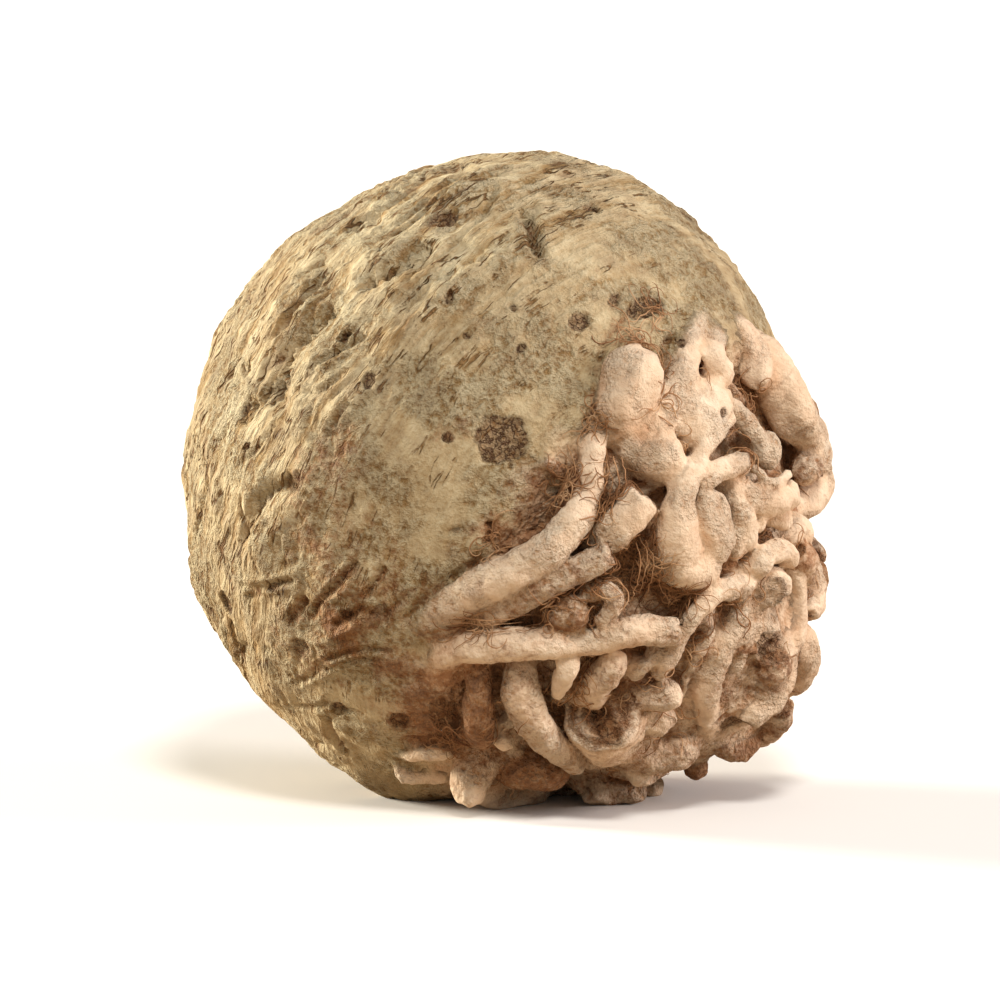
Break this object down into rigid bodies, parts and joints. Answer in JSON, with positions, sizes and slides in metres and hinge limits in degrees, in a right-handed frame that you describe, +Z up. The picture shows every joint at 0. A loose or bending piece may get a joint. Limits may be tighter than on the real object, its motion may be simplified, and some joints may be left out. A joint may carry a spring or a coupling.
{
  "type": "celeriac",
  "caption": "Globe-shaped celeriac lying on its side on a small flat spot, with a tangle of trimmed side roots on its underside and a cut crown opposite.",
  "frame": {"origin": "on the table, under the middle of the bounding box", "axes": "+Z up; the trimmed side roots face +X, -Y and a little down; a viewer of the root face looks along +Y"},
  "size_m": [0.1264, 0.1264, 0.1251],
  "materials": {
    "celeriac_skin": "dry, rough, cream to tan root skin, browner in its creases"
  },
  "bodies": {
    "root": {"celeriac": "celeriac_skin"}
  },
  "joints": []
}
